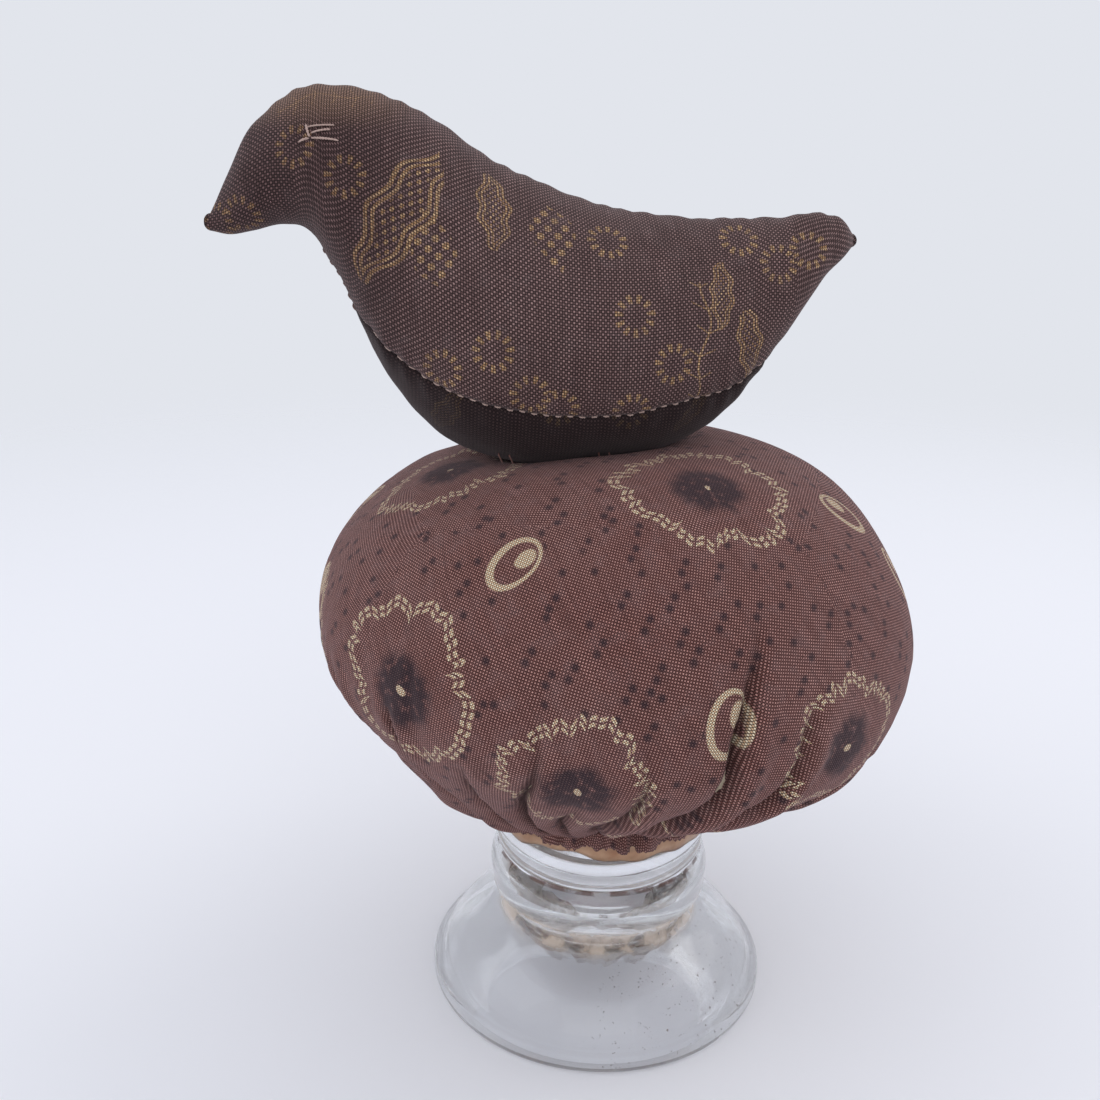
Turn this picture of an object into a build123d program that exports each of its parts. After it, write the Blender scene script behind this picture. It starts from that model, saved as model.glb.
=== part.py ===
from build123d import *
import math
import os

# Pin cushion: a stuffed cloth bird tacked onto a round pin cushion on a pressed-glass foot.
# Millimetres. +Z is up, the bird looks towards -X, and -Y is the bird's left side. The origin is the
# centre of the ring on which the glass foot stands.

# Driving dimensions
FOOT_RADIUS = 38.0
RING_RADIUS = 24.6            # widest of the moulded rings on the glass stem
NECK_RADIUS = 20.8            # waist between the bell foot and the rings
FOOT_HEIGHT = 23.4            # table to the underside of the rings
STEM_HEIGHT = 62.0            # top of the broken-off stem, hidden in the stuffing
GLASS_WALL = 5.0              # thickness of the bell foot
HOLLOW_CEILING = 13.6         # top of the hollow under the foot
RESIDUE_WIDTH = 4.6           # of the crusted ring on that ceiling

CLOTH = 0.8                   # thickness of the cushion cover
CUFF_RADIUS = RING_RADIUS + CLOTH
CUFF_EDGE = 44.6              # height of the cover's raw edge round the stem
CUFF_HEIGHT = 2.5             # straight part of the cuff
CUSHION_TOP = 125.5
# The cushion's two sides, under the beak and under the tail: reach from the stem's axis, height of the
# widest place, height gained between the raw edge and the neck, and the exponents that make the upper
# and the lower half rounder or straighter, each for the reach and for the height
LEFT_SIDE = {"reach": 59.5, "widest": 90.0, "neck": 4.0, "upper": (0.85, 1.0), "lower": (1.1, 1.2)}
RIGHT_SIDE = {"reach": 62.0, "widest": 86.5, "neck": 6.5, "upper": (0.85, 1.0), "lower": (1.0, 0.9)}

BIRD_TURN = 8.0               # the tail stands this many degrees away from the X axis
BIRD_CLOTH = 0.7              # thickness of the bird's panels
EGG = 0.16                    # how much wider the bird is below its middle
BIRD_CLEARANCE = 0.3          # between the bird and the dent that it makes in the cushion
SMALLEST_SHARE = 0.75         # of a narrow section's width, the most that the stuffing shrinks from it
STITCH_RADIUS = 0.3
STITCH_PITCH = 2.4
OUTSIDE = 60.0                # a distance from the bird's axis that is well outside its flanks
BACK_SEAM_START = -70.0       # the back seam's stitches, along the bird's axis
BACK_SEAM_END = 44.0
GLUE_HEIGHT = 4.0             # glue between the stem and the cover's cuff

# Bird: distance along its axis, underside height, back height, half width
BIRD_SECTIONS = [
    (-77.0, 165.2, 168.8, 1.6),
    (-74.0, 164.5, 174.2, 3.6),
    (-69.0, 165.3, 182.3, 6.8),
    (-63.0, 166.4, 188.2, 10.0),
    (-57.5, 164.0, 190.9, 12.4),
    (-53.0, 155.8, 191.0, 14.2),
    (-46.0, 141.5, 189.7, 17.0),
    (-36.0, 128.8, 185.8, 20.4),
    (-22.0, 121.8, 177.4, 22.6),
    (-5.0, 121.8, 171.1, 22.2),
    (10.0, 124.8, 168.7, 19.2),
    (22.0, 131.0, 168.5, 14.8),
    (32.0, 143.2, 169.3, 10.4),
    (40.0, 155.6, 170.4, 7.2),
    (45.0, 161.0, 168.6, 4.4),
    (46.8, 163.2, 166.4, 1.6),
]
# Seam between a side panel and the belly gusset: distance along the axis, height
GUSSET_SEAM = [(-53.4, 158.5), (-49.0, 150.6), (-38.8, 141.4), (-26.9, 136.4), (-14.9, 134.2),
               (-2.0, 134.0), (11.0, 136.0), (22.5, 138.6), (32.4, 145.6)]


def save(shape, node):
    """Write one node, a solid or a group of separate solids."""
    shape.label = node
    export_step(shape, f"parts/{node}.step")


# ---------------------------------------------------------------- glass foot and stem

def glass_base():
    """Pressed-glass bell foot with a ringed stem, hollow underneath, broken off at the top."""
    rim, neck, ring = FOOT_RADIUS, NECK_RADIUS, RING_RADIUS
    hollow_rim = (rim - GLASS_WALL, 2.0)
    hollow_edge = (neck - GLASS_WALL, HOLLOW_CEILING)
    lip_height = 4.2
    lip_round = 1.4               # roundness of the foot's lip, below and above
    lip_shoulder = (rim - 1.6, lip_height)
    bell_top = (neck, FOOT_HEIGHT - 3.0)
    band = (ring, FOOT_HEIGHT + 5.0)
    groove = (ring - 1.8, FOOT_HEIGHT + 9.8)
    notch = (ring - 1.6, FOOT_HEIGHT + 14.0)
    cuff_band = (ring - 0.8, FOOT_HEIGHT + 21.0)
    shoulder = (ring - 5.0, FOOT_HEIGHT + 24.1)
    stump_foot = (13.0, FOOT_HEIGHT + 27.1)
    stump_top = (12.0, STEM_HEIGHT)
    with BuildPart() as body:
        with BuildSketch(Plane.XZ):
            with BuildLine():
                Line((0, HOLLOW_CEILING), hollow_edge)
                Spline(hollow_edge, (26.0, 9.2), hollow_rim, tangents=((1, -0.15), (0.55, -1)))
                Polyline(hollow_rim, (rim - 3.2, 0), (rim - 1.2, 0))
                ThreePointArc((rim - 1.2, 0), (rim - 0.35, 0.4), (rim, lip_round))
                Line((rim, lip_round), (rim, lip_height - lip_round))
                ThreePointArc((rim, lip_height - lip_round), (rim - 0.5, lip_height - 0.35), lip_shoulder)
                Spline(lip_shoulder, (30.4, 12.2), bell_top, tangents=((-0.55, 1), (-0.25, 1)))
                Polyline(bell_top, (neck + 0.6, FOOT_HEIGHT - 1.2), (ring - 0.5, FOOT_HEIGHT), band)
                ThreePointArc(band, (ring - 0.5, FOOT_HEIGHT + 7.6), groove)
                ThreePointArc(groove, (ring - 1.3, FOOT_HEIGHT + 11.8), notch)
                ThreePointArc(notch, (ring - 0.3, FOOT_HEIGHT + 17.6), cuff_band)
                ThreePointArc(cuff_band, (ring - 2.4, FOOT_HEIGHT + 23.2), shoulder)
                Polyline(shoulder, stump_foot, stump_top, (0, STEM_HEIGHT - 1.6), (0, HOLLOW_CEILING))
            make_face()
        revolve(axis=Axis.Z)
    return body.part


def hollow_residue():
    """Old dried filler, crusted in a ring round the edge of the hollow's ceiling."""
    outer = NECK_RADIUS - GLASS_WALL - 0.4
    inner = outer - RESIDUE_WIDTH
    thickness = 1.5
    with BuildPart() as body:
        with BuildSketch(Plane.XZ):
            with BuildLine():
                Line((inner, HOLLOW_CEILING), (outer, HOLLOW_CEILING))
                ThreePointArc((outer, HOLLOW_CEILING), ((inner + outer) / 2, HOLLOW_CEILING - thickness),
                              (inner, HOLLOW_CEILING))
            make_face()
        revolve(axis=Axis.Z)
    return body.part


# ---------------------------------------------------------------- cushion

def side_place(side, turn):
    """Reach and height of one side of the cushion; turn runs from 0 at the top to 180 at the neck."""
    swing = math.sin(math.radians(turn))
    rise = abs(math.cos(math.radians(turn)))
    if turn <= 90:
        reach_power, height_power = side["upper"]
        height = side["widest"] + (CUSHION_TOP - side["widest"]) * rise ** height_power
        return side["reach"] * swing ** reach_power, height
    reach_power, height_power = side["lower"]
    drop = side["widest"] - CUFF_EDGE - side["neck"]
    reach = CUFF_RADIUS + (side["reach"] - CUFF_RADIUS) * swing ** reach_power
    return reach, side["widest"] - drop * rise ** height_power


def cushion_ring(turn, grow):
    """One tilted, off-centre circle of the cushion, through a place on its left and one on its right."""
    left, left_height = side_place(LEFT_SIDE, turn)
    right, right_height = side_place(RIGHT_SIDE, turn)
    angle = math.radians(turn)
    tilt = math.degrees(math.atan2(right_height - left_height, left + right))
    lift = grow * math.cos(angle)
    centre = ((right - left) / 2, 0, (left_height + right_height) / 2 + lift)
    plane = Plane(origin=centre, z_dir=Vector(0, 0, 1).rotate(Axis.Y, -tilt))
    radius = math.hypot(left + right, right_height - left_height) / 2 + grow * math.sin(angle)
    return plane * Circle(radius)


def cushion_body(grow):
    """Closed solid of the cushion, cuff included, made larger or smaller all round by grow."""
    rings = [cushion_ring(turn, grow) for turn in (10, 25, 40, 55, 72, 90, 108, 125, 142, 158, 172)]
    cuff = [Plane.XY.offset(CUFF_EDGE + height) * Circle(CUFF_RADIUS + grow) for height in (CUFF_HEIGHT, 0)]
    return loft(rings + cuff)


# ---------------------------------------------------------------- bird

def egg_section(station, underside, back, half_width, grow):
    """Upright egg-shaped section of the bird, widest below its middle."""
    middle = (underside + back) / 2
    half_height = (back - underside) / 2 + grow
    reach = half_width + grow
    corners = []
    for step in range(12):
        angle = math.radians(30 * step + 15)
        across = reach * math.cos(angle) * (1 - EGG * math.sin(angle))
        corners.append(Vector(station, across, middle + half_height * math.sin(angle)))
    return Face(Wire([Edge.make_spline(corners, periodic=True)]))


def bird_body(grow):
    """Closed solid of the whole stuffed bird, in its own frame, before it is turned."""
    last = len(BIRD_SECTIONS) - 1
    faces = []
    for number, (station, underside, back, half_width) in enumerate(BIRD_SECTIONS):
        shift = -grow if number == 0 else grow if number == last else 0
        limit = -SMALLEST_SHARE * min(half_width, (back - underside) / 2)
        faces.append(egg_section(station + shift, underside, back, half_width, max(grow, limit)))
    return loft(faces)


def gusset_zone():
    """Everything under the gusset seams, as a block across the bird's width."""
    with BuildPart() as zone:
        with BuildSketch(Plane.XZ):
            with BuildLine():
                seam = Spline(*GUSSET_SEAM)
                Polyline(seam @ 1, (60, 150), (60, 100), (-80, 100), (-80, 150), seam @ 0)
            make_face()
        extrude(amount=40, both=True)
    return zone.part


# ---------------------------------------------------------------- stitches

def stitch(centre, direction, length):
    """One straight stitch: a short round thread half sunk in the cloth."""
    start = centre - direction.normalized() * (length / 2)
    return Solid.make_cylinder(STITCH_RADIUS, length, Plane(origin=start, z_dir=direction))


def on_surface(skin, start, towards):
    """The first point of the skin that a line from start meets."""
    line = Axis(start, towards)
    hits = [point for point, normal in skin.find_intersection_points(line)]
    return min(hits, key=lambda point: (point - Vector(*start)).length)


def seam_stitches(skin, seam, side):
    """Running stitches along a side seam; side is -1 on the left and 1 on the right."""
    stitches = []
    count = int(seam.length / STITCH_PITCH)
    for number in range(1, count):
        ends = []
        for part_way in (-0.3, 0.3):
            spot = seam @ ((number + part_way) / count)
            ends.append(on_surface(skin, (spot.X, side * OUTSIDE, spot.Z), (0, -side, 0)))
        stitches.append(stitch((ends[0] + ends[1]) / 2, ends[1] - ends[0], (ends[1] - ends[0]).length))
    return stitches


def back_stitches(skin):
    """Stitches along the back, where the two side panels meet, from the brow to the tail."""
    stitches = []
    station = BACK_SEAM_START
    while station < BACK_SEAM_END:
        ends = [on_surface(skin, (station + step, 0, 230), (0, 0, -1)) for step in (0, STITCH_PITCH * 0.6)]
        stitches.append(stitch((ends[0] + ends[1]) / 2, ends[1] - ends[0], (ends[1] - ends[0]).length))
        station += STITCH_PITCH
    return stitches


def breast_stitches(skin):
    """Slanting whip stitches that close the stuffing opening at the throat."""
    half_width = 1.6
    slant = 0.7
    stitches = []
    for height in (151.5, 153.6, 155.7, 157.8, 159.9, 162.0):
        left = on_surface(skin, (-100, -half_width, height - slant), (1, 0, 0))
        right = on_surface(skin, (-100, half_width, height + slant), (1, 0, 0))
        stitches.append(stitch((left + right) / 2, right - left, (right - left).length))
    return stitches


def eye_stitches(skin, side):
    """Two long straight stitches with a zigzag across them; side is -1 on the left and 1 on the right."""
    lines = [((-57.6, 183.0), (-51.4, 183.6)), ((-56.6, 181.4), (-51.0, 180.9)),
             ((-57.0, 184.4), (-55.4, 181.0)), ((-55.4, 181.0), (-54.2, 184.6)),
             ((-54.2, 184.6), (-52.6, 181.2))]
    stitches = []
    for start, end in lines:
        ends = [on_surface(skin, (station, side * OUTSIDE, height), (0, -side, 0))
                for station, height in (start, end)]
        stitches.append(stitch((ends[0] + ends[1]) / 2, ends[1] - ends[0], (ends[1] - ends[0]).length))
    return stitches


def tacking_stitches(skin):
    """Threads between the bird's flanks and the cushion, in pairs along both sides."""
    length = 3.4
    stitches = []
    for side in (-1, 1):
        for station in (-23.0, -21.0, -4.0, -2.0, 11.0):
            top = on_surface(skin, (station, side * OUTSIDE, CUSHION_TOP - 0.4), (0, -side, 0))
            stitches.append(stitch(top, Vector(0.2, side * 0.5, -1), length))
    return stitches


# ---------------------------------------------------------------- assembly

def make_glass(cover, filling):
    """The glass foot, what sticks to it, and the stuffing packed round its stem."""
    glass = glass_base()
    glue_edge = CUFF_EDGE - 1.2
    glue_block = Pos(0, 0, glue_edge) * extrude(Circle(CUFF_RADIUS - CLOTH), GLUE_HEIGHT)
    glue = (glue_block - glass - cover).solids().sort_by(SortBy.VOLUME)[-1]
    save(glass, "glass_base")
    save(hollow_residue(), "hollow_residue")
    save(glue, "stem_glue")
    stuffing = filling - glass - glue
    save(stuffing.solids().sort_by(SortBy.VOLUME)[-1], "cushion_stuffing")


def make_cushion():
    """The cover and its gathering thread; returns the cover and the space left inside it."""
    dent = bird_body(BIRD_CLEARANCE).rotate(Axis.Z, BIRD_TURN)
    inner_dent = bird_body(BIRD_CLEARANCE + CLOTH).rotate(Axis.Z, BIRD_TURN)
    filling = cushion_body(-CLOTH) - inner_dent
    thread = Pos(0, 0, CUFF_EDGE + 1.8) * Torus(CUFF_RADIUS - CLOTH / 2, CLOTH / 4)
    cover = cushion_body(0) - dent - filling - thread
    save(thread, "gathering_thread")
    save(cover, "cushion_cover")
    return cover, filling


def make_bird():
    """Two side panels and a belly gusset round the bird's stuffing, with their sewing threads."""
    outside = bird_body(0)
    inside = bird_body(-BIRD_CLOTH)
    cloth = outside - inside
    under = gusset_zone()
    sides = cloth - under
    skin = outside.shell()
    seam = Edge.make_spline([Vector(station, 0, height) for station, height in GUSSET_SEAM])
    parts = {
        "bird_stuffing": inside,
        "bird_belly_gusset": cloth & under,
        "bird_left_panel": split(sides, bisect_by=Plane.XZ, keep=Keep.TOP),
        "bird_right_panel": split(sides, bisect_by=Plane.XZ, keep=Keep.BOTTOM),
        "bird_back_seam_stitches": Compound(back_stitches(skin)),
        "bird_left_gusset_stitches": Compound(seam_stitches(skin, seam, -1)),
        "bird_right_gusset_stitches": Compound(seam_stitches(skin, seam, 1)),
        "bird_breast_closing_stitches": Compound(breast_stitches(skin)),
        "bird_left_eye_stitches": Compound(eye_stitches(skin, -1)),
        "bird_right_eye_stitches": Compound(eye_stitches(skin, 1)),
        "bird_tacking_stitches": Compound(tacking_stitches(skin)),
    }
    for node, shape in parts.items():
        save(shape.rotate(Axis.Z, BIRD_TURN), node)


os.makedirs("parts", exist_ok=True)
make_glass(*make_cushion())
make_bird()
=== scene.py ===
import math
import bpy
import numpy as np
from mathutils import Matrix, Vector
from mathutils.bvhtree import BVHTree


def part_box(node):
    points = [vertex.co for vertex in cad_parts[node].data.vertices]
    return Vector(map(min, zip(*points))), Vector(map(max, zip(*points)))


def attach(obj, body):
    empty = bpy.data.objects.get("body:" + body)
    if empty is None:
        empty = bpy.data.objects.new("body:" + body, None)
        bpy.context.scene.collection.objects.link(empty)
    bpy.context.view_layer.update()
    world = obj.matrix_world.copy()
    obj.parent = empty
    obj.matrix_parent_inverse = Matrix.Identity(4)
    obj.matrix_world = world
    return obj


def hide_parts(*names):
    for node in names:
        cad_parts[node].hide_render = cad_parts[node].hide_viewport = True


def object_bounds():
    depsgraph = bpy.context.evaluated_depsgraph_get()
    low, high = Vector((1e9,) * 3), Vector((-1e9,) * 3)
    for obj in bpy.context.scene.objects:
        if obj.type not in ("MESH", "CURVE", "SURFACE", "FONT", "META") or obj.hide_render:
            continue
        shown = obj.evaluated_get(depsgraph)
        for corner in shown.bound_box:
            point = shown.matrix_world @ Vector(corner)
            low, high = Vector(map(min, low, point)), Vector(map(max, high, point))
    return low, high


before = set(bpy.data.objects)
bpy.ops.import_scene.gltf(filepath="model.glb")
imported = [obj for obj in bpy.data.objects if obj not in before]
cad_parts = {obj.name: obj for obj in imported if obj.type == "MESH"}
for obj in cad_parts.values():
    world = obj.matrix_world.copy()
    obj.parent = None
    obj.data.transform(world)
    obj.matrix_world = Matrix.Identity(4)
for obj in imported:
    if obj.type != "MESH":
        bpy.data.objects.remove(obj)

# Geometry is worked out in millimetres and becomes metres in make_mesh. +Z is up, the bird looks
# towards -X, and -Y is the bird's left side. An azimuth is measured from +X; a turn is 0 degrees at
# the top of the cushion, 90 at its widest and 180 at the neck.
MM = 0.001
cad_low, cad_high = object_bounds()


def box_mm(node):
    """A CAD node's lowest and highest corners."""
    low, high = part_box(node)
    return np.array(low) / MM, np.array(high) / MM


cover_low, cover_high = box_mm("cushion_cover")
CUSHION_TOP = cover_high[2] + 1.0
CUFF_EDGE = cover_low[2]
CUFF_RADIUS = 25.4
# The cushion's two sides, under the beak and under the tail: reach from the stem's axis, height of the
# widest place, height gained between the raw edge and the neck, and the exponents that make the upper
# and the lower half rounder or straighter, each for the reach and for the height
LEFT_SIDE = {"reach": 1.2 - cover_low[0], "widest": CUFF_EDGE + 43.5, "neck": 4.3,
             "upper": (1.17, 0.86), "lower": (0.82, 2.9)}
RIGHT_SIDE = {"reach": cover_high[0] + 0.4, "widest": CUFF_EDGE + 42.0, "neck": 8.2,
              "upper": (0.64, 1.23), "lower": (2.8, 0.5)}
COVER_THICKNESS = 0.7
PANEL_THICKNESS = 0.6
BIRD_TURN = math.radians(8.0)
CUSHION_THREAD = 0.37         # pitch of the cushion cloth's threads
BIRD_THREAD = 0.5             # pitch of the bird cloth's threads
SPOT_SPACING = 6.2            # between the dark spots of the cushion's print
THREAD_LEAN = 32              # degrees that the cushion cloth's threads lean
CUFF_ROWS = 5                 # grid rows of the cover's cuff, between its neck and its raw edge
SWELL_SCALE = 10              # the cloth simulation runs this much larger than life
SWELL_PRESSURE = 34
SWELL_FRAMES = 20
SWELL_CAP = 1.6               # farthest that the simulation may move a point
CRUST_WIDTH = 4.6             # of the ring of crust in the hollow of the foot
FLOOR_RADIUS = 1000
SEWING_STEP = 0.45            # length between the points along a sewing thread
SEWING_TWIST = 1.1            # length of one turn of its two strands

# Bird: distance along its axis, underside height, back height, half width
BIRD_SECTIONS = np.array([
    (-76.6, 165.4, 168.6, 1.6), (-73.6, 164.9, 174.2, 3.6), (-69.0, 165.8, 182.3, 6.8),
    (-63.0, 167.2, 188.2, 10.0), (-57.5, 165.0, 190.9, 12.4), (-53.0, 156.4, 191.2, 14.2),
    (-46.0, 141.5, 190.5, 17.0), (-36.0, 128.8, 186.8, 20.4), (-22.0, 121.8, 178.1, 22.6),
    (-5.0, 121.8, 171.8, 22.2), (10.0, 124.8, 169.4, 19.2), (22.0, 132.0, 168.9, 14.8),
    (32.0, 144.9, 169.3, 10.4), (40.0, 157.0, 170.2, 7.0), (44.4, 161.8, 168.4, 4.0),
    (45.9, 163.6, 166.4, 1.6)])
# Seam between a side panel and the belly gusset: distance along the axis, height
GUSSET_SEAM = np.array([
    (-53.4, 158.5), (-49.0, 150.6), (-38.8, 141.4), (-26.9, 136.4), (-14.9, 134.2), (-2.0, 134.0),
    (11.0, 136.0), (22.5, 138.6), (32.4, 145.6)])
GUSSET_FRONT = -55.5
GUSSET_REAR = 36.0
HEAD_START = -40.0            # where the head's grubbier cloth begins
HEAD_TOP = 191.0
EGG = 0.16                    # how much wider the bird is below its middle

random = np.random.default_rng(7)


# ---------------------------------------------------------------- mesh helpers

def make_mesh(name, points, faces):
    """A smooth-shaded mesh object from points in millimetres."""
    mesh = bpy.data.meshes.new(name)
    mesh.from_pydata((np.asarray(points) * MM).tolist(), [], faces)
    mesh.polygons.foreach_set("use_smooth", [True] * len(mesh.polygons))
    piece = bpy.data.objects.new(name, mesh)
    bpy.context.scene.collection.objects.link(piece)
    return piece


def finish_piece(piece, slot, material, *nodes):
    """Rides the piece on the one body, gives it the material and hides the nodes it stands for; slot is
    not used.
    """
    piece.data.materials.clear()
    piece.data.materials.append(material)
    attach(piece, "root")
    if nodes:
        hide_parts(*nodes)
    return piece


def grid_faces(rows, columns):
    """Quads of a grid of points whose last column joins its first."""
    row, column = np.meshgrid(np.arange(rows - 1), np.arange(columns), indexing="ij")
    after = (column + 1) % columns
    corners = (row * columns + column, row * columns + after,
               (row + 1) * columns + after, (row + 1) * columns + column)
    return np.stack([corner.ravel() for corner in corners], axis=1)


def level_ring(radius, height, around):
    """Points of a level ring about the stem's axis, at the angles in around."""
    level = np.ones_like(around) * height
    return np.stack([radius * np.cos(around), radius * np.sin(around), level], axis=-1)


def fan_faces(ring, pole, flip):
    """Triangles from a ring of point numbers to one pole point."""
    after = np.roll(ring, -1)
    triangles = [(a, b, pole) if flip else (b, a, pole) for a, b in zip(ring, after)]
    return [[int(corner) for corner in triangle] for triangle in triangles]


def closed_skin(name, points, start, end):
    """A closed mesh from a grid of points, with a pole at each end."""
    rows, columns = points.shape[:2]
    first_pole = rows * columns
    ring = np.arange(columns)
    faces = grid_faces(rows, columns)[:, ::-1].tolist()
    faces += fan_faces(ring, first_pole, True)
    faces += fan_faces(ring + (rows - 1) * columns, first_pole + 1, False)
    return make_mesh(name, np.concatenate([points.reshape(-1, 3), [start, end]]), faces)


def grid_normals(points):
    """Unit normals of a grid of points (rows, columns, 3), its columns joined round."""
    along = np.gradient(points, axis=0)
    around = np.roll(points, -1, axis=1) - np.roll(points, 1, axis=1)
    return unit(np.cross(around, along))


def smooth_step(value, low, high):
    part = np.clip((value - low) / (high - low), 0, 1)
    return part * part * (3 - 2 * part)


def bell(value, width):
    return np.exp(-(value / width) ** 2)


def ripple(points, size, seed, waves=14):
    """Smooth random relief, about -1 to 1, with hollows and humps about size across."""
    draw = np.random.default_rng(seed)
    total = np.zeros(points.shape[:-1])
    for _ in range(waves):
        direction = draw.normal(size=3)
        direction *= draw.uniform(0.6, 1.4) * 2 * math.pi / (size * np.linalg.norm(direction))
        total += np.sin(points @ direction + draw.uniform(0, 2 * math.pi))
    return total / math.sqrt(waves) * 0.8


def between(knots, at):
    """Smooth curve through given rows: first column where, the others the values there."""
    where, values = knots[:, 0], knots[:, 1:]
    slopes = np.gradient(values, where, axis=0)
    number = np.clip(np.searchsorted(where, at) - 1, 0, len(where) - 2)
    span = (where[number + 1] - where[number])[:, None]
    part = np.clip((at - where[number])[:, None] / span, 0, 1)
    start, end = values[number], values[number + 1]
    leaving, arriving = slopes[number] * span, slopes[number + 1] * span
    return ((1 + 2 * part) * (1 - part) ** 2 * start + part * (1 - part) ** 2 * leaving
            + part ** 2 * (3 - 2 * part) * end + part ** 2 * (part - 1) * arriving)


def corner_points(piece):
    """Each face corner's place, and the number of the face that it belongs to."""
    mesh = piece.data
    places = np.zeros(len(mesh.vertices) * 3)
    mesh.vertices.foreach_get("co", places)
    numbers = np.zeros(len(mesh.loops), dtype=int)
    mesh.loops.foreach_get("vertex_index", numbers)
    sizes = np.zeros(len(mesh.polygons), dtype=int)
    mesh.polygons.foreach_get("loop_total", sizes)
    owners = np.repeat(np.arange(len(sizes)), sizes)
    corners = places.reshape(-1, 3)[numbers] / MM
    centres = np.zeros((len(sizes), 3))
    np.add.at(centres, owners, corners)
    return corners, owners, centres / sizes[:, None]


def flat_from(centre, normal, up, turn, corners):
    """Flat cloth coordinates about a point of the surface, keeping each corner's distance from it."""
    side = unit(np.cross(up, normal))
    rise = np.cross(normal, side)
    angle = math.radians(turn)
    first = side * math.cos(angle) + rise * math.sin(angle)
    second = rise * math.cos(angle) - side * math.sin(angle)
    away = corners - centre
    flat = np.stack([away @ first, away @ second], axis=-1)
    stretch = np.linalg.norm(away, axis=-1) / np.maximum(np.linalg.norm(flat, axis=-1), 1e-6)
    return flat * np.minimum(stretch, 2.0)[:, None]


def lay_motifs(piece, name, motifs):
    """Writes, at each face corner, its flat place from the nearest motif, and that motif's number."""
    corners, owners, centres = corner_points(piece)
    places = np.array([motif[0] for motif in motifs])
    nearest = np.linalg.norm(centres[:, None, :] - places[None], axis=2).argmin(axis=1)[owners]
    values = np.full((len(corners), 3), 99.0)
    for number, (centre, normal, turn, size) in enumerate(motifs):
        chosen = nearest == number
        up = np.array([0.0, 0.0, 1.0]) if abs(normal[2]) < 0.95 else np.array([0.0, 1.0, 0.0])
        values[chosen, :2] = flat_from(centre, normal, up, turn, corners[chosen]) / size
        values[chosen, 2] = number
    layer = piece.data.attributes.new(name, "FLOAT_VECTOR", "CORNER")
    layer.data.foreach_set("vector", values.astype(np.float32).ravel())


def lay_cloth(piece, flat):
    """Writes the flat cloth coordinates, in millimetres, as the piece's UV map."""
    layer = piece.data.uv_layers.new(name="cloth")
    layer.data.foreach_set("uv", flat.astype(np.float32).ravel())


def unit(vectors):
    """The same vectors, each one long."""
    return vectors / np.maximum(np.linalg.norm(vectors, axis=-1, keepdims=True), 1e-9)


def line_frame(points):
    """Unit vectors across and over a line, at each of its points."""
    along = unit(np.gradient(points, axis=0))
    helper = np.array([0.0, 0.0, 1.0]) if abs(along[0, 2]) < 0.8 else np.array([1.0, 0.0, 0.0])
    across = unit(np.cross(along, helper))
    return across, np.cross(along, across)


def tube(points, radius, sides=6):
    """Points and faces of a round thread along a line, tapering at its two ends."""
    across, over = line_frame(points)
    angles = (np.arange(sides) * 2 * math.pi / sides)[None, :, None]
    taper = np.ones((len(points), 1, 1))
    taper[[0, -1]] = 0.35
    outward = np.cos(angles) * across[:, None] + np.sin(angles) * over[:, None]
    rings = points[:, None] + radius * taper * outward
    faces = grid_faces(len(points), sides).tolist()
    last = (len(points) - 1) * sides
    faces.append(list(range(sides)))
    faces.append([last + corner for corner in reversed(range(sides))])
    return rings.reshape(-1, 3), faces


def thread_mesh(name, lines, radius):
    """One mesh of many separate threads, each of two strands twisted together."""
    points = []
    faces = []
    first = 0
    for line in lines:
        line = np.asarray(line, float)
        length = np.linalg.norm(np.diff(line, axis=0), axis=1).sum()
        at = np.linspace(0, 1, max(5, int(length / SEWING_STEP)))
        known = np.linspace(0, 1, len(line))
        core = np.stack([np.interp(at, known, line[:, axis]) for axis in range(3)], axis=1)
        across, over = line_frame(core)
        turns = (at * length / SEWING_TWIST * 2 * math.pi)[:, None]
        for strand in (0, math.pi):
            shift = radius * 0.45 * (np.cos(turns + strand) * across + np.sin(turns + strand) * over)
            ring_points, ring_faces = tube(core + shift, radius * 0.62)
            points.append(ring_points)
            faces += [[corner + first for corner in face] for face in ring_faces]
            first += len(ring_points)
    return make_mesh(name, np.concatenate(points), faces)


# ---------------------------------------------------------------- node helpers

def srgb(red, green, blue):
    """A linear colour from 0-255 display values."""
    parts = [value / 255 for value in (red, green, blue)]
    linear = [part / 12.92 if part <= 0.04045 else ((part + 0.055) / 1.055) ** 2.4 for part in parts]
    return (*linear, 1.0)


class Value:
    """A number at every point of a surface, so that shader arithmetic reads as a formula."""

    def __init__(self, painter, socket):
        self.painter = painter
        self.socket = socket

    def math(self, operation, *others):
        return self.painter.math(operation, self, *others)

    def __add__(self, other):
        return self.math("ADD", other)

    def __sub__(self, other):
        return self.math("SUBTRACT", other)

    def __rsub__(self, other):
        return self.painter.math("SUBTRACT", other, self)

    def __mul__(self, other):
        return self.math("MULTIPLY", other)

    def __truediv__(self, other):
        return self.math("DIVIDE", other)

    __radd__ = __add__
    __rmul__ = __mul__


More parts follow.
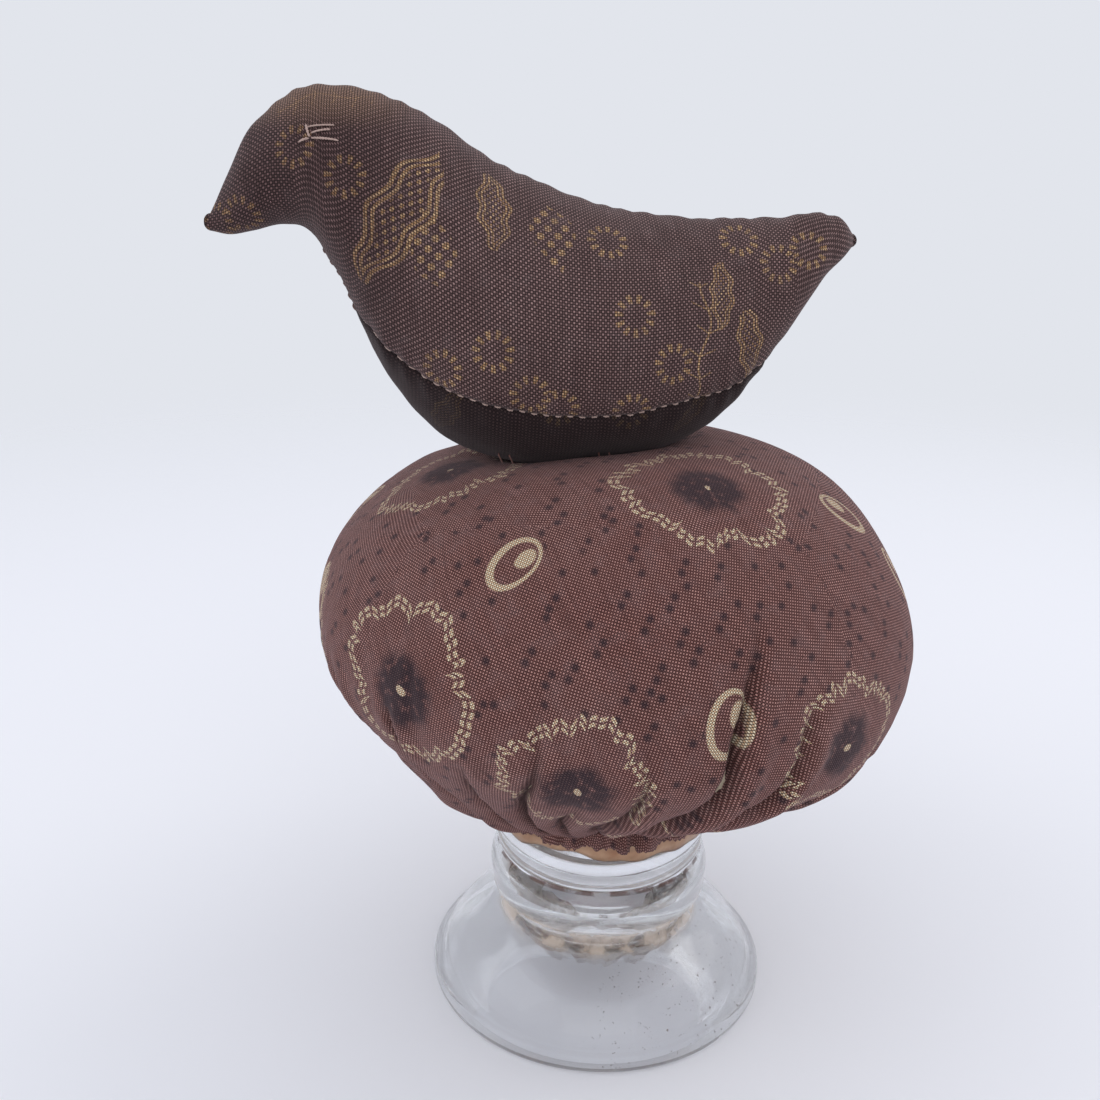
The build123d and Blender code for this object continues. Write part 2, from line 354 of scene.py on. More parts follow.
class Painter:
    """Builds the nodes of one material."""

    def __init__(self, name):
        self.material = bpy.data.materials.new(name)
        self.material.use_nodes = True
        self.nodes = self.material.node_tree.nodes
        self.links = self.material.node_tree.links
        self.nodes.clear()

    def plug(self, socket, value):
        if isinstance(value, Value):
            self.links.new(value.socket, socket)
        elif value is not None:
            socket.default_value = value

    def math(self, operation, *values):
        node = self.nodes.new("ShaderNodeMath")
        node.operation = operation
        for socket, value in zip(node.inputs, values):
            self.plug(socket, value)
        return Value(self, node.outputs[0])

    def step(self, value, low, high):
        """0 below low, 1 above high, smooth between; high may be the smaller."""
        node = self.nodes.new("ShaderNodeMapRange")
        node.interpolation_type = "SMOOTHSTEP"
        upward = low < high
        self.plug(node.inputs["Value"], value)
        self.plug(node.inputs["From Min"], low if upward else high)
        self.plug(node.inputs["From Max"], high if upward else low)
        self.plug(node.inputs["To Min"], 0.0 if upward else 1.0)
        self.plug(node.inputs["To Max"], 1.0 if upward else 0.0)
        return Value(self, node.outputs["Result"])

    def vector(self, x, y, z=0.0):
        node = self.nodes.new("ShaderNodeCombineXYZ")
        for socket, value in zip(node.inputs, (x, y, z)):
            self.plug(socket, value)
        return Value(self, node.outputs[0])

    def parts(self, vector):
        node = self.nodes.new("ShaderNodeSeparateXYZ")
        self.plug(node.inputs[0], vector)
        return [Value(self, output) for output in node.outputs]

    def attribute(self, name, output="Vector"):
        node = self.nodes.new("ShaderNodeAttribute")
        node.attribute_name = name
        return Value(self, node.outputs[output])

    def place(self):
        """The point's place in the object, in millimetres."""
        node = self.nodes.new("ShaderNodeTexCoord")
        scale = self.nodes.new("ShaderNodeVectorMath")
        scale.operation = "SCALE"
        self.links.new(node.outputs["Object"], scale.inputs[0])
        scale.inputs["Scale"].default_value = 1 / MM
        return Value(self, scale.outputs[0])

    def noise(self, vector, scale, detail=2.0, rough=0.5):
        node = self.nodes.new("ShaderNodeTexNoise")
        self.plug(node.inputs["Vector"], vector)
        node.inputs["Scale"].default_value = scale
        node.inputs["Detail"].default_value = detail
        node.inputs["Roughness"].default_value = rough
        return Value(self, node.outputs["Fac"])

    def cells(self, vector, scale, randomness):
        """Distance to the nearest of scattered points, and that point's random number."""
        node = self.nodes.new("ShaderNodeTexVoronoi")
        node.voronoi_dimensions = "2D"
        self.plug(node.inputs["Vector"], vector)
        node.inputs["Scale"].default_value = scale
        node.inputs["Randomness"].default_value = randomness
        return Value(self, node.outputs["Distance"]), self.parts(Value(self, node.outputs["Color"]))[0]

    def mix(self, share, first, second, blend="MIX"):
        node = self.nodes.new("ShaderNodeMix")
        node.data_type = "RGBA"
        node.blend_type = blend
        self.plug(node.inputs[0], share)
        self.plug(node.inputs[6], first)
        self.plug(node.inputs[7], second)
        return Value(self, node.outputs[2])

    def bump(self, height, strength, distance):
        node = self.nodes.new("ShaderNodeBump")
        node.inputs["Strength"].default_value = strength
        node.inputs["Distance"].default_value = distance
        self.plug(node.inputs["Height"], height)
        return Value(self, node.outputs[0])

    def shader(self, kind="ShaderNodeBsdfPrincipled", **settings):
        node = self.nodes.new(kind)
        for name, value in settings.items():
            self.plug(node.inputs[name.replace("_", " ")], value)
        return node

    def output(self, shader):
        node = self.nodes.new("ShaderNodeOutputMaterial")
        self.links.new(shader.outputs[0], node.inputs["Surface"])
        return self.material


# ---------------------------------------------------------------- cloth materials

def weave(paint, across, along, pitch):
    """Plain weave: how far the first set of threads is on top, how closed the cloth is, thread tones."""
    first = across / pitch
    second = along / pitch
    rise = (first * math.pi).math("COSINE")
    fall = (second * math.pi).math("COSINE")
    on_top = paint.step(rise * fall, -0.4, 0.4)
    closed = paint.step(rise.math("ABSOLUTE").math("MINIMUM", fall.math("ABSOLUTE")), 0.1, 0.72)
    first_tone = paint.noise(paint.vector(first.math("ROUND") * 0.73, along * 0.11), 1.0, 1.0)
    second_tone = paint.noise(paint.vector(across * 0.11, second.math("ROUND") * 0.73, 5.0), 1.0, 1.0)
    tone = first_tone * on_top + second_tone * (1.0 - on_top)
    return on_top, closed, tone


def cloth_shader(paint, colour, height, sheen, tint):
    normal = paint.bump(height, 0.55, 0.00012)
    shader = paint.shader(Base_Color=colour, Roughness=0.92, Specular_IOR_Level=0.22, Normal=normal,
                          Sheen_Weight=sheen, Sheen_Roughness=0.45, Sheen_Tint=tint)
    return paint.output(shader)


def motif(paint, name):
    """Flat coordinates about the nearest motif of that name, in its own size, and its number."""
    return paint.parts(paint.attribute(name))


def oval(across, along, width=1.0, length=1.0):
    """1 on an ellipse of those squared half axes, less inside it, more outside."""
    return (across * across / width + along * along / length).math("SQRT")


def line_at(paint, value, place, half_width):
    """1 on a line where value equals place."""
    return paint.step((value - place).math("ABSOLUTE"), half_width * 1.25, half_width * 0.75)


def flower(paint):
    """A ragged double ladder-stitched outline round a smoky centre with one pale dot."""
    across, along, number = motif(paint, "flower")
    distance = oval(across, along)
    angle = along.math("ARCTAN2", across)
    ring = paint.vector(angle.math("COSINE") + number * 5.3, angle.math("SINE"), number * 2.1)
    lobes = paint.noise(ring, 1.15, 1.0)
    notches = paint.noise(ring, 3.1, 0.0)
    scallop = ((angle * 4.0 + notches * 9.0).math("SINE")).math("ABSOLUTE")
    edge = 0.52 + lobes * 0.72 + scallop * 0.13
    outer = line_at(paint, distance, edge, 0.026)
    inner = line_at(paint, distance, edge - 0.085, 0.024)
    rungs = paint.step((angle * 52.0).math("SINE"), -0.75, -0.3)
    outline = outer.math("MAXIMUM", inner) * rungs
    smoke_edge = 0.3 + paint.noise(ring, 2.0, 2.0) * 0.3
    cloud = paint.noise(paint.vector(across + number, along), 9.0, 2.0)
    smoke = paint.step(distance - smoke_edge, 0.09, -0.13) * paint.step(cloud, 0.2, 0.5)
    dot = paint.step(oval(across, along, 1.0, 2.0), 0.062, 0.045)
    inside = paint.step(distance - edge, 0.05, -0.02)
    return outline.math("MAXIMUM", dot), smoke * (1.0 - dot), inside


def egg(paint):
    """A pale oval ring, thick on one side, with a pale lens in its upper corner."""
    across, along, _ = motif(paint, "egg")
    rim = oval(across, along, 0.49)
    hole = oval(across - 0.05, along - 0.04, 0.3, 0.68)
    ring = paint.step(rim, 1.03, 0.97) * paint.step(hole, 0.95, 1.02)
    lens = paint.step(oval(across - 0.2, along - 0.3, 0.07, 0.16), 1.1, 0.85)
    return ring.math("MAXIMUM", lens), paint.step(rim, 1.1, 1.0)


def calico():
    """The cushion's worn reddish-brown calico, with painted shade along the creases of its pleats."""
    paint = Painter("worn_reddish_calico")
    across, along, _ = paint.parts(paint.attribute("cloth"))
    place = paint.place()
    on_top, closed, tone = weave(paint, across, along, CUSHION_THREAD)
    outline, smoke, inside_flower = flower(paint)
    ring, inside_egg = egg(paint)
    grain = paint.vector(across, along)
    twin_grain = paint.vector(across + 1.9, along + 1.1)
    spots, _ = paint.cells(grain, 1 / SPOT_SPACING, 0.95)
    twin, twin_kind = paint.cells(twin_grain, 1 / SPOT_SPACING, 0.95)
    spot = paint.step(spots, 0.19, 0.04)
    twin_spot = paint.step(twin, 0.19, 0.04) * paint.step(twin_kind, 0.5, 0.55)
    dark = spot.math("MAXIMUM", twin_spot) * (1.0 - inside_flower) * (1.0 - inside_egg)
    worn = paint.noise(place, 0.05, 3.0)
    blotch = paint.noise(place, 0.35, 3.0)
    light = paint.mix(worn, srgb(198, 138, 128), srgb(230, 180, 170))
    deep = paint.mix(worn, srgb(112, 62, 56), srgb(138, 90, 84))
    threads = paint.mix(on_top, deep, light)
    toned = paint.mix(1.0, threads, paint.mix(tone, srgb(138, 132, 134), srgb(255, 255, 255)), "MULTIPLY")
    dusty = paint.mix(paint.step(blotch, 0.45, 0.75) * 0.14, toned, srgb(170, 146, 148))
    inked = paint.mix((smoke * 0.84).math("MAXIMUM", dark * 0.7), dusty, srgb(36, 34, 46))
    printed = paint.mix(outline.math("MAXIMUM", ring) * 0.92, inked,
                        paint.mix(on_top, srgb(224, 188, 150), srgb(255, 238, 206)))
    # painted shade: the cloth darkens towards near black-red where the crease attribute marks a pleat's
    # valley
    crease_shaded = paint.mix(paint.attribute("crease", "Fac") * 0.85, printed, srgb(30, 12, 11))
    colour = paint.mix(closed, srgb(24, 7, 6), crease_shaded)
    height = closed * 0.7 + on_top * 0.2 + blotch * 0.25
    return cloth_shader(paint, colour, height, 0.16, srgb(235, 205, 208))


def rosettes(paint):
    """Rings of separate short dashes."""
    across, along, number = motif(paint, "rosette")
    distance = oval(across, along)
    angle = along.math("ARCTAN2", across)
    dashes = paint.step((angle * 11.0).math("SINE"), -0.1, 0.35)
    wobble = paint.noise(paint.vector(angle.math("COSINE"), angle.math("SINE"), number * 3.0), 2.0) * 0.25
    return line_at(paint, distance + wobble, 1.12, 0.25) * dashes


def leaves(paint):
    """Long leaves with a double wavy outline and a dotted middle."""
    across, along, number = motif(paint, "leaf")
    part = along * 0.5 + 0.5
    taper = (part * math.pi).math("SINE").math("MAXIMUM", 0.0).math("POWER", 0.8)
    wander = paint.noise(paint.vector(along, number), 2.0)
    wave = (along * 10.0 + number).math("SINE") * 0.05 + wander * 0.12
    reach = taper * 0.32 + 0.02
    side = (across - wave).math("ABSOLUTE")
    lines = line_at(paint, side, reach, 0.03)
    lines = lines.math("MAXIMUM", line_at(paint, side, reach - 0.1, 0.026))
    dots = paint.step((across * 42.0).math("SINE") * (along * 34.0).math("SINE"), 0.25, 0.6)
    middle = dots * paint.step(side - reach, -0.12, -0.2)
    within = paint.step(along.math("ABSOLUTE"), 1.0, 0.96)
    return lines.math("MAXIMUM", middle) * within


def teardrops(paint):
    """Drops filled with rows of dots."""
    across, along, _ = motif(paint, "drop")
    part = (along * 0.5 + 0.5).math("MAXIMUM", 0.0).math("MINIMUM", 1.0)
    reach = (part * math.pi).math("SINE") * (1.15 - part) * 0.75
    dots = paint.step((across * 15.0).math("SINE") * (along * 15.0).math("SINE"), 0.1, 0.5)
    return dots * paint.step(across.math("ABSOLUTE") - reach, 0.03, -0.03)


def branches(paint):
    """A thin crooked twig with side shoots."""
    across, along, number = motif(paint, "twig")
    crook = (along * 5.0 + number).math("SINE") * 0.08
    aside = (across - crook).math("ABSOLUTE")
    stem = line_at(paint, across, crook, 0.022)
    shoot_place = (along * 2.6).math("FRACT") - 0.35
    shoots = line_at(paint, aside, shoot_place * 0.8, 0.03) * paint.step(aside, 0.27, 0.24)
    return stem.math("MAXIMUM", shoots) * paint.step(along.math("ABSOLUTE"), 1.0, 0.96)


def bird_cotton(name, painted_shade):
    """The bird's dark brown printed cotton; the gusset's piece is a copy darkened with painted shade."""
    paint = Painter(name)
    across, along, _ = paint.parts(paint.attribute("cloth"))
    place = paint.place()
    on_top, closed, tone = weave(paint, across, along, BIRD_THREAD)
    print_mask = rosettes(paint).math("MAXIMUM", leaves(paint))
    print_mask = print_mask.math("MAXIMUM", teardrops(paint)).math("MAXIMUM", branches(paint))
    worn = paint.noise(place, 0.06, 3.0)
    blotch = paint.noise(place, 0.3, 3.0)
    light = paint.mix(worn, srgb(148, 116, 112), srgb(190, 156, 152))
    deep = paint.mix(worn, srgb(90, 64, 62), srgb(116, 90, 88))
    threads = paint.mix(on_top, deep, light)
    fade = paint.step(paint.noise(place, 0.22, 2.0), 0.3, 0.5) * 0.35 + 0.6
    tan = paint.mix(on_top, srgb(202, 156, 112), srgb(246, 206, 158))
    printed = paint.mix(print_mask * fade, threads, tan)
    toned = paint.mix(1.0, printed, paint.mix(tone, srgb(126, 120, 122), srgb(255, 255, 255)), "MULTIPLY")
    dusty = paint.mix(paint.step(blotch, 0.5, 0.8) * 0.16, toned, srgb(150, 134, 134))
    east, _, up = paint.parts(place)
    head = paint.step(east, HEAD_START + 8, HEAD_START - 8)
    crown = head * paint.step(up, HEAD_TOP - 9, HEAD_TOP - 2)
    grubby = paint.mix(1.0, dusty, paint.mix(head, srgb(255, 255, 255), srgb(206, 200, 202)), "MULTIPLY")
    crowned = paint.mix(crown * 0.45, grubby, srgb(176, 140, 116))
    # painted shade: mixes the cloth towards near black by the given share, for the gusset's shaded copy
    shaded = paint.mix(painted_shade, crowned, srgb(24, 14, 17))
    colour = paint.mix(closed, srgb(20, 10, 11), shaded)
    height = closed * 0.7 + on_top * 0.2 + blotch * 0.2
    return cloth_shader(paint, colour, height, 0.16, srgb(225, 210, 210))


def thread_material(name, colour, pale):
    """Spun thread: two tones along the twist."""
    paint = Painter(name)
    place = paint.place()
    tone = paint.noise(place, 2.2, 2.0)
    shader = paint.shader(Base_Color=paint.mix(tone, colour, pale), Roughness=0.8,
                          Normal=paint.bump(paint.noise(place, 9.0), 0.4, 0.0001),
                          Sheen_Weight=0.3, Sheen_Roughness=0.5)
    return paint.output(shader)


def stuffing_material():
    """Matted raw wool and rag, never seen from outside."""
    paint = Painter("matted_stuffing")
    tone = paint.noise(paint.place(), 0.8, 5.0)
    colour = paint.mix(tone, srgb(120, 104, 86), srgb(206, 192, 168))
    shader = paint.shader(Base_Color=colour, Roughness=0.95, Normal=paint.bump(tone, 0.8, 0.001))
    return paint.output(shader)


# ---------------------------------------------------------------- glass materials

def blend_shaders(paint, share, first, second):
    """The first shader where share is 0, the second where it is 1."""
    both = paint.nodes.new("ShaderNodeMixShader")
    paint.plug(both.inputs[0], share)
    paint.links.new(first.outputs[0], both.inputs[1])
    paint.links.new(second.outputs[0], both.inputs[2])
    return both


def glass_material():
    """Old clear pressed glass: thin in the bell, with a cream film and brown grime about the neck."""
    paint = Painter("old_clear_glass")
    place = paint.place()
    x, _, z = paint.parts(place)
    glass = paint.shader(Base_Color=srgb(250, 252, 255), Roughness=0.0, IOR=1.5, Transmission_Weight=1.0)
    thin = paint.shader("ShaderNodeBsdfTransparent")
    film = paint.shader(Base_Color=srgb(214, 196, 178), Roughness=0.6)
    grime = paint.shader(Base_Color=srgb(92, 46, 24), Roughness=0.6)
    streaks = paint.noise(place, 0.25, 4.0)
    specks = paint.step(paint.noise(place, 1.1, 2.0), 0.69, 0.73) * paint.step(x, -4.0, 6.0)
    cloudy = line_at(paint, z, 20.6, 3.4) * paint.step(streaks, 0.3, 0.6) * 0.62
    groove = line_at(paint, z, 33.2, 0.5) * paint.step(streaks, 0.42, 0.56) * 0.7
    brown = groove.math("MAXIMUM", specks * paint.step(z, 26.0, 8.0) * 0.7)
    body = blend_shaders(paint, 0.1 + paint.step(z, 22.0, 17.0) * 0.28, glass, thin)
    filmed = blend_shaders(paint, cloudy, body, film)
    return paint.output(blend_shaders(paint, brown, filmed, grime))


def residue_material():
    """Dried filler: brown-black crust with white bloom at its rim."""
    paint = Painter("dried_filler_crust")
    place = paint.place()
    crumble = paint.noise(place, 0.5, 5.0, 0.65)
    bloom = paint.step(paint.noise(place, 0.22, 4.0, 0.6), 0.46, 0.56)
    dark = paint.mix(crumble, srgb(18, 10, 10), srgb(126, 66, 34))
    colour = paint.mix(bloom, dark, srgb(206, 196, 186))
    shader = paint.shader(Base_Color=colour, Roughness=0.55, Normal=paint.bump(crumble, 0.9, 0.0012))
    return paint.output(shader)


def glue_material():
    """Old amber-brown glue, clouded where it is thick."""
    paint = Painter("old_amber_glue")
    cloud = paint.noise(paint.place(), 0.35, 3.0)
    colour = paint.mix(cloud, srgb(150, 84, 40), srgb(222, 186, 150))
    shader = paint.shader(Base_Color=colour, Roughness=0.3, Transmission_Weight=0.35, IOR=1.5,
                          Normal=paint.bump(cloud, 0.5, 0.0005))
    return paint.output(shader)


# ---------------------------------------------------------------- cloth simulation

def inflate(points, faces, held, cap):
    """How far each point of a cloth skin moves when the stuffing's pressure swells it; held ones stay.

    The simulation runs larger than life, where Blender's cloth settles well."""
    scale = SWELL_SCALE * MM
    mesh = bpy.data.meshes.new("swelling")
    mesh.from_pydata((points * scale).tolist(), [], faces)
    skin = bpy.data.objects.new("swelling", mesh)
    scene = bpy.context.scene
    scene.collection.objects.link(skin)
    pinned = skin.vertex_groups.new(name="held")
    for number in np.where(held > 0.02)[0]:
        pinned.add([int(number)], float(min(held[number], 1.0)), "REPLACE")
    cloth = skin.modifiers.new("cloth", "CLOTH")
    cloth.settings.use_pressure = True
    cloth.settings.uniform_pressure_force = SWELL_PRESSURE
    cloth.settings.quality = 5
    cloth.settings.bending_stiffness = 0.4
    cloth.settings.effector_weights.gravity = 0
    cloth.settings.vertex_group_mass = "held"
    cloth.collision_settings.use_collision = False
    cloth.point_cache.frame_start = 1
    cloth.point_cache.frame_end = SWELL_FRAMES
    for number in range(1, SWELL_FRAMES + 1):
        scene.frame_set(number)
    swollen = skin.evaluated_get(bpy.context.evaluated_depsgraph_get()).to_mesh()
    places = np.zeros(len(points) * 3)
    swollen.vertices.foreach_get("co", places)
    scene.frame_set(1)
    bpy.data.objects.remove(skin)
    moves = places.reshape(-1, 3) / scale - points
    length = np.linalg.norm(moves, axis=1, keepdims=True)
    return moves * np.minimum(1, cap / np.maximum(length, 1e-6))


def spread(coarse, rows_at, columns_at, rows, columns):
    """Carries a coarse grid of moves over to a finer grid; its columns join round."""
    wide = np.concatenate([coarse, coarse[:, :1]], axis=1)
    columns_at = np.concatenate([columns_at, [columns_at[0] + 360]])
    halfway = np.stack([[np.interp(columns, columns_at, line[:, axis], period=360) for axis in range(3)]
                        for line in wide])
    return np.stack([[np.interp(rows, rows_at, halfway[:, axis, number]) for axis in range(3)]
                     for number in range(len(columns))]).transpose(2, 0, 1)


# ---------------------------------------------------------------- cushion

# Pleats of the cover, gathered to the neck: three places each, as (azimuth, turn), then depth, width.
# The lip of each fold stands on the side of rising azimuth.
FRONT_PLEATS = [
    ((-65, 58), (-70, 94), (-75, 170), 2.7, 4.6),
    ((-54, 78), (-62, 112), (-72, 168), 2.4, 4.8),
    ((-101, 84), (-100, 122), (-98, 172), 2.0, 3.6),
    ((-84, 88), (-80, 124), (-80, 172), 2.0, 3.6),
    ((-132, 94), (-126, 126), (-118, 172), 2.1, 4.2),
    ((-30, 98), (-45, 126), (-58, 170), 2.6, 5.4),
    ((-113, 110), (-110, 140), (-107, 174), 1.4, 3.0),
    ((-90, 120), (-90, 145), (-88, 174), 1.1, 2.4),
    ((-150, 102), (-143, 132), (-134, 172), 2.1, 4.6),
]


def back_pleats():
    """The pleats of the unseen side, from a seeded draw."""
    pleats = []
    for azimuth in np.arange(-12, 205, 14.5):
        start = azimuth + random.uniform(-4, 4)
        lean = random.uniform(-9, 9)
        pleats.append(((start, random.uniform(74, 112)), (start + lean * 0.5, 130), (start + lean, 172),
                       random.uniform(1.1, 2.3), random.uniform(2.6, 4.4)))
    return pleats


PLEATS = FRONT_PLEATS + back_pleats()


def side_place(side, turn):
    """Reach and height of one side of the cushion at each turn."""
    swing = np.sin(np.radians(turn))
    rise = np.abs(np.cos(np.radians(turn)))
    drop = side["widest"] - CUFF_EDGE - side["neck"]
    reach = np.where(turn <= 90, side["reach"] * swing ** side["upper"][0],
                     CUFF_RADIUS + (side["reach"] - CUFF_RADIUS) * swing ** side["lower"][0])
    height = np.where(turn <= 90, (CUSHION_TOP - side["widest"]) * rise ** side["upper"][1],
                      -drop * rise ** side["lower"][1])
    return reach, side["widest"] + height


def cushion_shape(turn, azimuth):
    """Points of the plump cushion without its pleats; past 180 degrees of turn lies the cuff."""
    left, left_height = side_place(LEFT_SIDE, np.minimum(turn, 180.0))
    right, right_height = side_place(RIGHT_SIDE, np.minimum(turn, 180.0))
    tilt = np.arctan2(right_height - left_height, left + right)
    radius = np.hypot(left + right, right_height - left_height) / 2
    across = np.cos(np.radians(azimuth))
    x = (right - left) / 2 + radius * across * np.cos(tilt)
    y = radius * np.sin(np.radians(azimuth))
    z = (left_height + right_height) / 2 + radius * across * np.sin(tilt)
    down = np.clip(turn - 180.0, 0, None) / 10.0
    z = z - down * (z - CUFF_EDGE)
    return np.stack([x, y, z], axis=-1)


def off_azimuth(azimuth, centre):
    """Degrees from a centre, the short way round."""
    return (azimuth - centre + 180) % 360 - 180


def pleat_relief(turn, azimuth, radius):
    """How far the folds lift the cloth or sink it, and how deep in a crease each grid point lies."""
    relief = np.zeros(turn.shape)
    crease = np.zeros(turn.shape)
    for start, middle, end, depth, width in PLEATS:
        turns = [start[1], middle[1], end[1], 190]
        centre = np.interp(turn, turns, [start[0], middle[0], end[0], end[0]])
        aside = np.radians(off_azimuth(azimuth, centre)) * radius
        shallower = 1 - 0.75 * smooth_step(turn, 140, 180)
        strength = depth * smooth_step(turn, start[1] - 6, middle[1]) * shallower
        fold = 0.85 * bell(aside - width * 0.7, width * 0.5) + 0.2 * bell(aside + width, width * 0.8)
        relief += strength * (fold - 1.25 * bell(aside, width * 0.22))
        crease = np.maximum(crease, strength / depth * bell(aside + 0.2, width * 0.17 + 0.25))
    around = np.radians(azimuth)
    gathers = np.sin(around * 23 + 2.6 * np.sin(around * 4)) + 0.5 * np.sin(around * 37 + 1.7)
    gathers *= 0.55 + 0.45 * np.sin(around * 3 + 0.6)
    sag = 2.3 * bell(off_azimuth(azimuth, 195), 55) * bell(turn - 116, 17)
    sag += 0.8 * bell(off_azimuth(azimuth, -140), 40) * bell(turn - 164, 9)
    sag -= 0.8 * bell(off_azimuth(azimuth, -145), 30) * bell(turn - 143, 12)
    sag -= 3.6 * bell(off_azimuth(azimuth, -25), 45) * bell(turn - 160, 20)
    return relief + sag + 0.6 * gathers * smooth_step(turn, 145, 174), crease


def bird_underside(x, y):
    """Height of the bird's underside over each point of the plan, or a large number outside it."""
    station = x * math.cos(BIRD_TURN) + y * math.sin(BIRD_TURN)
    across = -x * math.sin(BIRD_TURN) + y * math.cos(BIRD_TURN)
    inside = np.clip(station, BIRD_SECTIONS[0, 0], BIRD_SECTIONS[-1, 0])
    low, high, half = between(BIRD_SECTIONS, inside.ravel()).T.reshape(3, *x.shape)
    share = np.clip(1 - (across / (half * 1.08)) ** 2, 0, 1)
    height = (low + high) / 2 - (high - low) / 2 * np.sqrt(share)
    return np.where((share > 0) & (station == inside), height, 1e3)


def press_under_bird(points):
    """The dent that the bird makes in the cushion, with a soft edge."""
    gap = bird_underside(points[..., 0], points[..., 1]) - 0.25 - points[..., 2]
    soft = 1.2
    drop = np.where(gap < soft, (soft - gap) ** 2 / (4 * soft), 0)
    drop = np.where(gap < -soft, -gap, drop)
    points[..., 2] -= drop
    return points


def cushion_points(rows, columns, inset=0.0):
    """The cushion's grid of points with pleats, gathers and dent, and its turns and azimuths."""
    turns = np.concatenate([np.linspace(1.2, 180, rows - CUFF_ROWS), np.linspace(182, 190, CUFF_ROWS)])
    azimuths = np.arange(columns) * 360 / columns - 180
    turn, azimuth = np.meshgrid(turns, azimuths, indexing="ij")
    points = cushion_shape(turn, azimuth)
    normals = -grid_normals(points)
    radius = np.hypot(points[..., 0], points[..., 1])
    relief = pleat_relief(turn, azimuth, radius)[0] * smooth_step(turn, 30, 60)
    relief += 0.5 * ripple(points, 34, 3) * smooth_step(turn, 20, 50) * (1 - smooth_step(turn, 150, 175))
    relief += 0.12 * ripple(points, 9, 4)
    points = points + normals * (relief - inset)[..., None]
    points = press_under_bird(points)
    return points, turn, azimuth


def swell_cushion(points, turn, azimuth):
    """Lets the cover swell between its pleats, its cuff and the bird, which hold it."""
    some = (slice(None, None, 2), slice(None, None, 2))
    coarse, turns, azimuths = points[some], turn[some], azimuth[some]
    radius = np.hypot(coarse[..., 0], coarse[..., 1])
    held = pleat_relief(turns, azimuths, radius)[1]
    held = np.maximum(held, smooth_step(turns, 160, 176))
    held = np.maximum(held, bird_underside(coarse[..., 0], coarse[..., 1]) < coarse[..., 2] + 2.0)
    held = np.maximum(held, 1 - smooth_step(turns, 2, 6))
    rows, columns = coarse.shape[:2]
    faces = grid_faces(rows, columns)[:, ::-1].tolist()
    moves = inflate(coarse.reshape(-1, 3), faces, held.ravel(), SWELL_CAP).reshape(rows, columns, 3)
    return points + spread(moves, turns[:, 0], azimuths[0], turn[:, 0], azimuth[0])


def raw_edge(points, azimuth):
    """The cover's cut edge: a wavering line with small tags of loose weave."""
    wander = 0.9 * np.sin(np.radians(azimuth[0]) * 3 + 0.8) + 0.5 * np.sin(np.radians(azimuth[0]) * 11)
    wander += 2.0 * bell(off_azimuth(azimuth[0], -12), 50)
    tags = random.uniform(-0.45, 0.45, len(wander))
    points[-1, :, 2] += tags
    for back in range(CUFF_ROWS):
        points[-1 - back, :, 2] += wander * (1 - back / CUFF_ROWS)
    return points


def make_cushion(cloth, thread, stuffing):
    rows, columns = 168, 400
    points, turn, azimuth = cushion_points(rows, columns)
    points = swell_cushion(points, turn, azimuth)
    points = raw_edge(points, azimuth)
    flat_points = np.concatenate([points.reshape(-1, 3), [[0, 0, points[0, :, 2].mean()]]])
    faces = grid_faces(rows, columns)[:, ::-1].tolist()
    faces += fan_faces(np.arange(columns), rows * columns, True)
    cover = make_mesh("cushion_cover_cloth", flat_points, faces)
    lay_cushion_cloth(cover)
    lay_cushion_print(cover)
    # crease depth per point, which the calico reads to paint shade into the pleats' folds
    crease = pleat_relief(turn, azimuth, np.hypot(points[..., 0], points[..., 1]))[1]
    layer = cover.data.attributes.new("crease", "FLOAT", "POINT")
    layer.data.foreach_set("value", np.append(crease.ravel(), 0.0).astype(np.float32))
    thicken(cover, COVER_THICKNESS)
    finish_piece(cover, "cushion_calico", cloth, "cushion_cover")
    make_cushion_stuffing(stuffing)
    ring = points[-4] - 0.9 * radial(points[-4])
    loop = np.concatenate([ring, ring[:1]])
    sew("gathering_thread_twist", [loop], 0.22, "brown_thread", thread, "gathering_thread")
    return cover


def radial(points):
    """Unit vectors away from the stem's axis, level."""
    return unit(points * np.array([1.0, 1.0, 0.0]))


def thicken(piece, thickness, shares=None):
    """Gives a cloth piece its thickness, inwards; shares thin it point by point."""
    solid = piece.modifiers.new("thickness", "SOLIDIFY")
    if shares is not None:
        group = piece.vertex_groups.new(name="full_thickness")
        for number, share in enumerate(shares):
            group.add([number], float(share), "REPLACE")
        solid.vertex_group = "full_thickness"
    solid.thickness = thickness * MM
    solid.offset = -1.0
    solid.use_rim = True


def lay_cushion_cloth(cover):
    """The weave lies flat round five points of the cushion, four sides and the top."""
    corners, owners, centres = corner_points(cover)
    middle = np.array([0.0, 0.0, (LEFT_SIDE["widest"] + RIGHT_SIDE["widest"]) / 2])
    away = centres - middle
    away[:, 2] *= 1.5
    away = unit(away)
    charts = [((0, -1, 0), (0, 0, 1)), ((1, 0, 0), (0, 0, 1)), ((0, 1, 0), (0, 0, 1)),
              ((-1, 0, 0), (0, 0, 1)), ((0, 0, 1), (0, 1, 0))]
    closeness = np.stack([away @ np.array(normal, float) for normal, _ in charts], axis=1)
    closeness[:, 4] -= 0.12
    chosen = closeness.argmax(axis=1)[owners]
    flat = np.zeros((len(corners), 2))
    for number, (normal, up) in enumerate(charts):
        mine = chosen == number
        normal = np.array(normal, float)
        reach = CUSHION_TOP - middle[2] if number == 4 else RIGHT_SIDE["reach"]
        flat[mine] = flat_from(middle + normal * reach, normal, np.array(up, float), THREAD_LEAN,
                               corners[mine])
    lay_cloth(cover, flat)


def on_cushion(azimuth, turn):
    """A place on the cushion's smooth shape, and its normal."""
    near = cushion_shape(np.array([turn, turn + 0.5, turn]), np.array([azimuth, azimuth, azimuth + 0.5]))
    normal = np.cross(near[1] - near[0], near[2] - near[0])
    return near[0], normal / np.linalg.norm(normal)


